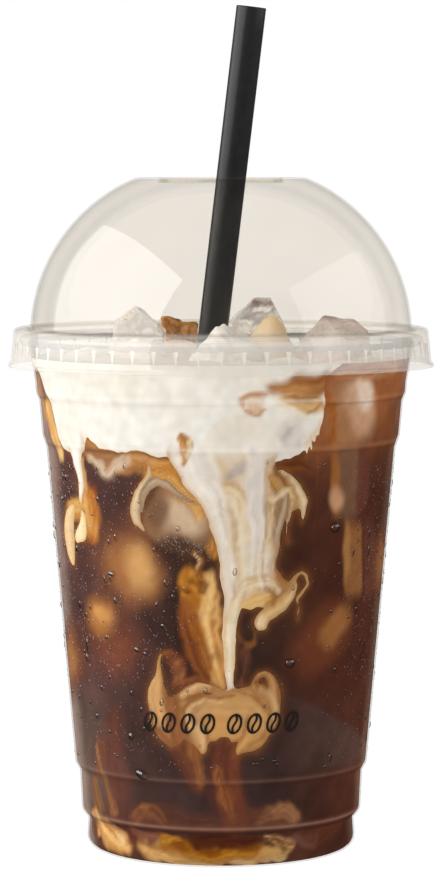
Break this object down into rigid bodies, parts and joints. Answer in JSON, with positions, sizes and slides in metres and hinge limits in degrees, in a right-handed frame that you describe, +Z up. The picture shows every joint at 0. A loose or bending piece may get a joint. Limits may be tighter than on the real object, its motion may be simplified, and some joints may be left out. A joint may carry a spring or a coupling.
{
  "type": "cold brew coffee in a cup",
  "caption": "Iced cold brew coffee with marbled cream in a clear tapered plastic cup, with a domed lid and a straight straw.",
  "frame": {"origin": "centre of the ring that the cup stands on", "axes": "+Z up along the cup's axis; -Y towards the viewer, the side with the stream of cream; +X to the viewer's right, the side the straw leans to"},
  "size_m": [0.102, 0.102, 0.2014],
  "materials": {
    "cup_plastic": "clear, smooth",
    "lid_plastic": "clear, smooth",
    "straw_plastic": "satin",
    "coffee": "dark clear liquid",
    "cream": "smooth liquid",
    "ice": "wet, worn round"
  },
  "bodies": {
    "root": {"cup": "cup_plastic", "lid": "lid_plastic", "straw": "straw_plastic", "coffee": "coffee", "cream": "cream", "ice_back": "ice", "ice_front": "ice", "ice_left": "ice", "ice_right": "ice"}
  },
  "joints": []
}
